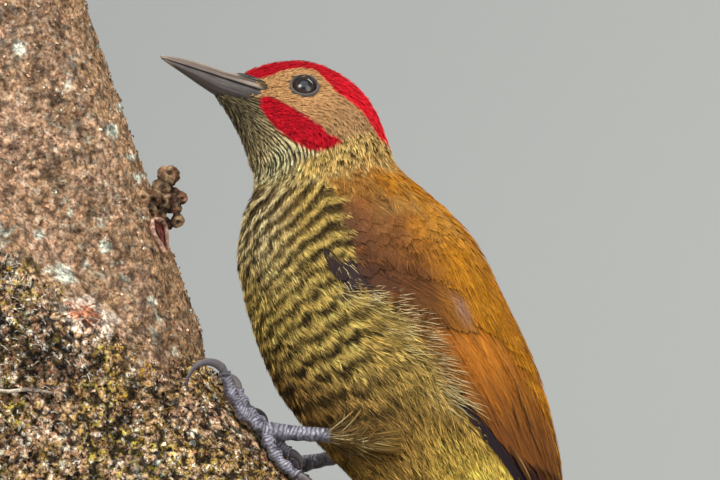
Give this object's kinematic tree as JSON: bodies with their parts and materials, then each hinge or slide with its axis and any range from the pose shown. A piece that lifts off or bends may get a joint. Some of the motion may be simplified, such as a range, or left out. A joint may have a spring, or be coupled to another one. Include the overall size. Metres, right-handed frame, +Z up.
{
  "type": "golden-olive woodpecker model",
  "caption": "Life-size still model of a male golden-olive woodpecker clinging to a cut, forked bough, held on a flat base by short upright rods.",
  "frame": {"origin": "middle of the stand base's underside, at the height it rests on", "axes": "+Z up; the bird faces -X, climbing, with its left side to -Y; -Y is the side the picture shows"},
  "size_m": [0.232, 0.142, 0.3052],
  "materials": {
    "plumage": "soft matt feathers, barred below and golden above",
    "bronze_feathers": "smooth bronze-gold vanes with a faint sheen",
    "dusky_feathers": "smooth dark brown vanes",
    "bill_horn": "satin grey horn",
    "eye": "wet-looking dark brown",
    "leg_skin": "scaly blue-grey skin",
    "claw_horn": "satin grey-brown horn",
    "bark": "rough bark with moss and lichen, sawn ends",
    "base_board": "dark satin varnish",
    "rod_steel": "brushed"
  },
  "bodies": {
    "root": {"bill_lower": "bill_horn", "bill_upper": "bill_horn", "claw_1_left": "claw_horn", "claw_1_right": "claw_horn", "claw_2_left": "claw_horn", "claw_2_right": "claw_horn", "claw_3_left": "claw_horn", "claw_3_right": "claw_horn", "claw_4_left": "claw_horn", "claw_4_right": "claw_horn", "eye_left": "eye", "eye_right": "eye", "head": "plumage", "neck": "plumage", "perch_bough": "bark", "perch_burr": "bark", "perch_limb": "bark", "stand_base": "base_board", "stand_rod_1": "rod_steel", "stand_rod_2": "rod_steel", "tail": "bronze_feathers", "tarsus_left": "leg_skin", "tarsus_right": "leg_skin", "thigh_left": "plumage", "thigh_right": "plumage", "toe_1_left": "leg_skin", "toe_1_right": "leg_skin", "toe_2_left": "leg_skin", "toe_2_right": "leg_skin", "toe_3_left": "leg_skin", "toe_3_right": "leg_skin", "toe_4_left": "leg_skin", "toe_4_right": "leg_skin", "trunk": "plumage", "wing_left_coverts": "bronze_feathers", "wing_left_primaries": "dusky_feathers", "wing_left_secondaries": "bronze_feathers", "wing_right_coverts": "bronze_feathers", "wing_right_primaries": "dusky_feathers", "wing_right_secondaries": "bronze_feathers"}
  },
  "joints": []
}
